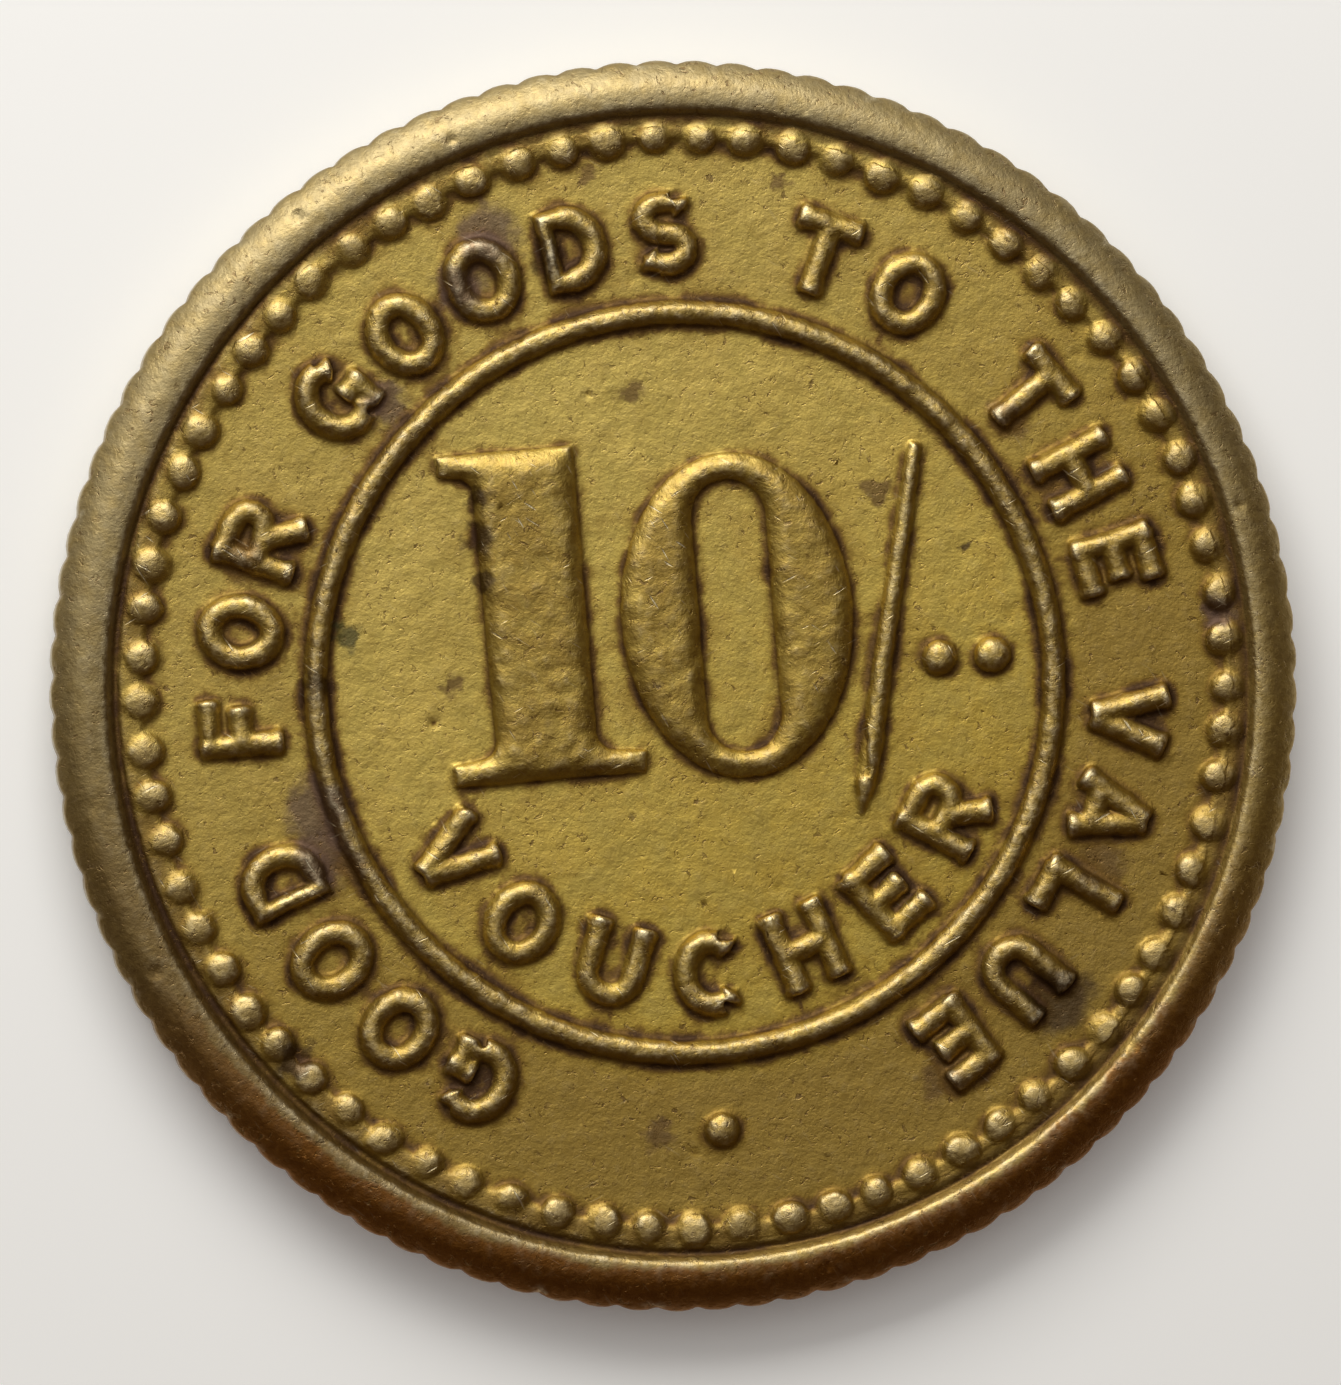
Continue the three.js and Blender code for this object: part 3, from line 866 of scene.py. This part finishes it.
def worn_brass():
    finish = Finish("worn_brass")
    here = finish.add("TexCoord", output="Object")
    place = finish.add("VectorMath", {0: here, 3: 1 / TO_METRES}, operation="SCALE")
    shelter = finish.attribute("shelter")
    rubbed = finish.attribute("rubbed")
    raised = finish.attribute("raised")
    reach = finish.attribute("reach")
    from_foot = finish.attribute("from_foot")

    broad = finish.noise(place, 0.16, 4, 0.6, 0.4)
    mottle = finish.noise(place, 0.9, 5, 0.62, 0.3)
    patchy = finish.noise(place, 2.2, 4, 0.6, 0.5)
    fine = finish.noise(place, 5.5, 4, 0.6)
    grain = finish.noise(place, 13, 3, 0.65)

    # Field: yellow brass, with painted shade that deepens it towards the lower right, away from the key
    # light, and browner outside the line circle, where painted shade also grows towards the lower right.
    flat = finish.add("VectorMath", {0: place, 1: (1, 1, 0)}, operation="MULTIPLY")
    radius = finish.add("VectorMath", {0: flat}, output="Value", operation="LENGTH")
    lean = finish.along(flat, LOWER_RIGHT)
    # Painted shade: the field colour deepens towards the lower right, away from the key light.
    colour = finish.mixed(finish.ramp(lean, -11, 11), PALE_BRASS, PAINTED_SHADE_BRASS)
    colour = finish.mixed(finish.ramp(mottle, 0.62, 0.35, 0, 0.6), colour, OLIVE_BRASS)
    colour = finish.mixed(finish.ramp(patchy, 0.5, 0.72, 0, 0.3), colour, HANDLED_BRASS)
    colour = finish.mixed(finish.ramp(broad, 0.45, 0.75, 0, 0.3), colour, HANDLED_BRASS)
    haze = finish.maths("MULTIPLY", finish.attribute("nearby"), finish.ramp(mottle, 0.42, 0.62, 0.0, 0.75))
    colour = finish.mixed(haze, colour, HANDLED_BRASS)
    # Browner outside the line circle: a little toning all round, plus painted shade that grows towards the
    # lower right.
    browning_and_shade = finish.maths("MULTIPLY", finish.ramp(reach, INSIDE_LINE, OUTSIDE_LINE),
                            finish.ramp(lean, -9, 9, 0.25, 0.95))
    colour = finish.mixed(browning_and_shade, colour, HANDLED_BRASS)

    # Raised metal is handled, so it's duller than the field. The line circle is the dullest.
    dull = finish.maths("MULTIPLY", raised, finish.ramp(patchy, 0.3, 0.7, 0.6, 1.0), clamp=True)
    colour = finish.mixed(finish.maths("MULTIPLY", dull, 0.9), colour, HANDLED_BRASS)
    on_line = finish.maths("MULTIPLY", finish.near(reach, LINE_RADIUS, 0.5, 0.35), dull)
    colour = finish.mixed(finish.maths("MULTIPLY", on_line, 0.2), colour, TONED_BRASS)

    # The band under the beads is toned, and the beads are rubbed on top.
    outer_half = finish.ramp(reach, BAND_INNER, BAND_FULL)
    between = finish.maths("MULTIPLY", outer_half, finish.ramp(raised, 0.98, 0.6))
    band = finish.maths("MULTIPLY", between, finish.ramp(mottle, 0.35, 0.6, 0.15, 0.5))
    colour = finish.mixed(band, colour, TONED_BRASS)
    on_beads = finish.ramp(reach, BEAD_INNER, BEAD_MIDDLE)
    bead_top = finish.maths("MULTIPLY", on_beads, finish.ramp(raised, 0.8, 1.0, 0, 0.1))
    colour = finish.mixed(bead_top, colour, RUBBED_BRASS)

    # Rim: a greyer film, with painted shade that browns it towards the lower right, olive to the lower
    # left, and painted shade that turns the outer shoulder dark brown outside the crest along the bottom.
    edge = finish.maths("ADD", radius, finish.ramp(mottle, 0.3, 0.7, -0.12, 0.12))
    # Painted shade: the rim film browns towards the lower right, away from the key light.
    rim_film_and_shade = finish.mixed(finish.ramp(lean, -2, 12, 0, 0.75), RIM_FILM, HANDLED_BRASS)
    rim_film_and_shade = finish.mixed(finish.ramp(patchy, 0.35, 0.7, 0, 0.3), rim_film_and_shade, HANDLED_BRASS)
    below = finish.along(flat, DOWN)
    lower_left = finish.along(flat, LOWER_LEFT)
    # Painted shade: outside the crest along the bottom, where the shoulder faces away from the key light,
    # the rim turns dark brown.
    bottom_shoulder_shade = finish.ramp(edge, RIM_CREST, RIM_OUTSIDE)
    bottom_shoulder_shade = finish.maths("MULTIPLY", bottom_shoulder_shade, finish.ramp(below, 3.5, 10.5, 0, 0.95))
    rim_film_and_shade = finish.mixed(finish.ramp(lower_left, 6.5, 13.5, 0, 0.8), rim_film_and_shade, RIM_OLIVE)
    browned_and_shaded = finish.maths("MAXIMUM", bottom_shoulder_shade, finish.ramp(lower_left, 10.0, 13.5, 0, 0.12))
    rim_film_and_shade = finish.mixed(browned_and_shaded, rim_film_and_shade, RIM_BROWN_AND_SHADE)
    on_rim = finish.ramp(from_foot, -0.02, 0.12, 0, 0.92)
    # The coat is taken off where the rim is browned and where painted shade darkens it.
    brown_and_shade_share = finish.maths("MULTIPLY", finish.maths("MULTIPLY", browned_and_shaded, on_rim), 0.8)
    free_of_brown_and_shade = finish.maths("SUBTRACT", 1.0, brown_and_shade_share)
    colour = finish.mixed(on_rim, colour, rim_film_and_shade)

    # Toning in sheltered places, in an uneven line.
    sheltered = finish.maths("MULTIPLY", shelter, finish.ramp(mottle, 0.35, 0.65, 0.55, 1.15), clamp=True)
    sheltered = finish.maths("MULTIPLY", sheltered, finish.ramp(from_foot, 0.0, 0.14, 1.0, 0.4))
    colour = finish.mixed(finish.ramp(sheltered, 0.15, 0.75), colour, TONED_BRASS)
    colour = finish.mixed(finish.ramp(sheltered, 0.65, 1.1), colour, UMBER)
    colour = finish.mixed(finish.near(from_foot, -0.03, 0.18, 0.05, 0.45), colour, UMBER)

    # Tarnish spots with ragged borders.
    ragged = finish.add("TexNoise", {"Vector": place, "Scale": 2.4, "Detail": 4.0}, output="Color")
    strayed = finish.add("VectorMath", {0: ragged, 1: (0.9, 0.9, 0), 2: place}, operation="MULTIPLY_ADD")
    for x, y, breadth, tint in SPOTS:
        middle = (x + 0.45, y + 0.45, THICKNESS - RIM_HEIGHT)
        away = finish.add("VectorMath", {0: strayed, 1: middle}, output="Value", operation="DISTANCE")
        colour = finish.mixed(finish.ramp(away, breadth * 1.3, breadth * 0.6, 0, 0.82), colour, tint)

    # Specks, scratches and rubbed edges.
    speck = finish.ramp(finish.noise(place, 5.0, 3, 0.7, 0.6), 0.57, 0.68)
    speck = finish.maths("MULTIPLY", speck, finish.ramp(mottle, 0.38, 0.62, 0.3, 1.0))
    colour = finish.mixed(finish.maths("MULTIPLY", speck, 0.75), colour, TONED_BRASS)
    scratch = 0.0
    for turn, shift in ((38, 0.0), (-24, 7.0), (62, 19.0)):
        inputs = {"Vector": place, "Angle": math.radians(turn)}
        turned = finish.add("VectorRotate", inputs, rotation_type="Z_AXIS")
        inputs = {0: turned, 1: (1.3, 11.0, 0.0), 2: (shift, 0, 0)}
        drawn = finish.add("VectorMath", inputs, operation="MULTIPLY_ADD")
        line = finish.ramp(finish.noise(drawn, 1.0, 1, 0.4), 0.71, 0.78)
        scratch = finish.maths("MAXIMUM", line, scratch)
    scratch = finish.maths("MULTIPLY", scratch, finish.ramp(raised, 0.2, 0.9, 0.12, 1.0))
    scratch = finish.maths("MULTIPLY", scratch, finish.ramp(mottle, 0.4, 0.55, 0.15, 1.0))
    colour = finish.mixed(finish.maths("MULTIPLY", scratch, 0.6), colour, RUBBED_BRASS)
    bright = finish.maths("MULTIPLY", rubbed, finish.ramp(fine, 0.35, 0.65, 0.1, 0.6))
    colour = finish.mixed(bright, colour, RUBBED_BRASS)

    roughness = finish.ramp(fine, 0.3, 0.7, 0.38, 0.5)
    roughness = finish.maths("ADD", roughness, finish.maths("MULTIPLY", sheltered, 0.15))
    roughness = finish.maths("SUBTRACT", roughness, finish.maths("MULTIPLY", rubbed, 0.08), clamp=True)

    relief = finish.maths("MULTIPLY", grain, 0.6)
    relief = finish.maths("ADD", relief, fine)
    lumps = finish.maths("MULTIPLY", patchy, finish.ramp(raised, 0, 1, 0.3, 2.2))
    relief = finish.maths("ADD", relief, lumps)
    relief = finish.maths("SUBTRACT", relief, finish.maths("MULTIPLY", speck, 0.5))
    relief = finish.maths("SUBTRACT", relief, finish.maths("MULTIPLY", scratch, 0.5))
    bump = finish.add("Bump", {"Height": relief, "Distance": 0.014 * TO_METRES, "Strength": 1.0})

    finish.put(finish.shader.inputs["Base Color"], colour)
    finish.put(finish.shader.inputs["Metallic"], finish.ramp(sheltered, 0.3, 1.0, 0.95, 0.7))
    finish.put(finish.shader.inputs["Roughness"], roughness)
    finish.put(finish.shader.inputs["Normal"], bump)
    coat = finish.maths("MULTIPLY", finish.ramp(sheltered, 0.05, 0.6, 0.42, 0.0), free_of_brown_and_shade)
    finish.put(finish.shader.inputs["Coat Weight"], coat)
    finish.put(finish.shader.inputs["Coat IOR"], 1.6)
    finish.put(finish.shader.inputs["Coat Roughness"], 0.3)
    finish.put(finish.shader.inputs["Coat Normal"], bump)
    return finish.material


# ---- Stage: pale floor, soft light and the camera ----

ROLL = math.radians(4.7)
RIGHT = Vector((math.cos(ROLL), -math.sin(ROLL), 0))
UP = Vector((math.sin(ROLL), math.cos(ROLL), 0))
OUT = Vector((0, 0, 1))

CAMERA_TILT = math.radians(5.0)
CAMERA_LENS = 300
CAMERA_DISTANCE = 0.267
CAMERA_AIM = (-0.183, -0.153)

KEY_WIDTH = 0.12
KEY_HEIGHT = 0.08
KEY_POWER = 0.13
KEY_SWING = math.radians(18)
KEY_DROP = math.radians(50)
KEY_DISTANCE = 0.14


def aimed(piece, place, target, top=None):
    piece.location = place
    back = (place - target).normalized()
    side = (top or Vector((0, 1, 0))).cross(back).normalized()
    piece.rotation_euler = Matrix((side, back.cross(side), back)).transposed().to_euler()


def camera():
    bpy.ops.object.camera_add()
    eye = last_added("camera")
    eye.data.lens = CAMERA_LENS
    eye.data.clip_start = 0.01
    eye.data.clip_end = 10
    aside, above = CAMERA_AIM
    target = (RIGHT * aside + UP * above + OUT * THICKNESS) * TO_METRES
    back = OUT * math.cos(CAMERA_TILT) - RIGHT * math.sin(CAMERA_TILT)
    aimed(eye, target + back * CAMERA_DISTANCE, target, UP)
    bpy.context.scene.camera = eye


def key_light():
    bpy.ops.object.light_add(type="AREA")
    light = last_added("key_light")
    light.data.shape = "RECTANGLE"
    light.data.size = KEY_WIDTH
    light.data.size_y = KEY_HEIGHT
    light.data.energy = KEY_POWER
    light.data.color = (1.0, 0.99, 0.95)
    side = UP * math.cos(KEY_SWING) - RIGHT * math.sin(KEY_SWING)
    place = (side * math.sin(KEY_DROP) + OUT * math.cos(KEY_DROP)) * KEY_DISTANCE
    aimed(light, place, Vector((0, 0, 0)), OUT)
    light.visible_camera = False


def floor():
    bpy.ops.mesh.primitive_plane_add(size=4, location=(0, 0, -0.00002))
    ground = last_added("floor")
    finish = Finish("pale_floor")
    finish.put(finish.shader.inputs["Base Color"], (0.95, 0.95, 0.94, 1))
    finish.put(finish.shader.inputs["Roughness"], 0.8)
    finish.put(finish.shader.inputs["Emission Color"], (1, 1, 1, 1))
    finish.put(finish.shader.inputs["Emission Strength"], 0.1)
    ground.data.materials.append(finish.material)


def surroundings():
    """Soft room light: bright overhead and behind the key light, dim and warm elsewhere.
    The camera itself sees a plain pale grey."""
    world = bpy.data.worlds.new("studio")
    bpy.context.scene.world = world
    world.use_nodes = True
    tree = world.node_tree
    background = tree.nodes["Background"]
    where = tree.nodes.new("ShaderNodeTexCoord").outputs["Generated"]
    lean = tree.nodes.new("ShaderNodeVectorMath")
    lean.operation = "DOT_PRODUCT"
    tree.links.new(where, lean.inputs[0])
    lean.inputs[1].default_value = (OUT * 0.78 + UP * 0.58 - RIGHT * 0.2).normalized()
    glow = tree.nodes.new("ShaderNodeMapRange")
    glow.interpolation_type = "SMOOTHSTEP"
    glow.inputs["From Min"].default_value = 0.48
    glow.inputs["From Max"].default_value = 1.0
    glow.inputs["To Min"].default_value = 0.0
    glow.inputs["To Max"].default_value = 1.0
    tree.links.new(lean.outputs["Value"], glow.inputs["Value"])
    room = tree.nodes.new("ShaderNodeMix")
    room.data_type = "RGBA"
    tree.links.new(glow.outputs[0], room.inputs[0])
    room.inputs[6].default_value = (0.06, 0.031, 0.013, 1)
    room.inputs[7].default_value = (0.96, 0.95, 0.92, 1)
    seen = tree.nodes.new("ShaderNodeLightPath").outputs["Is Camera Ray"]
    pick = tree.nodes.new("ShaderNodeMix")
    pick.data_type = "RGBA"
    tree.links.new(seen, pick.inputs[0])
    tree.links.new(room.outputs[2], pick.inputs[6])
    pick.inputs[7].default_value = (0.85, 0.85, 0.85, 1)
    tree.links.new(pick.outputs[2], background.inputs["Color"])


disc = struck_disc()
disc.data.materials.clear()
disc.data.materials.append(worn_brass())
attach(disc, "root")
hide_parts("struck_disc")
floor()
camera()
key_light()
surroundings()
bpy.context.scene.view_settings.view_transform = "Standard"
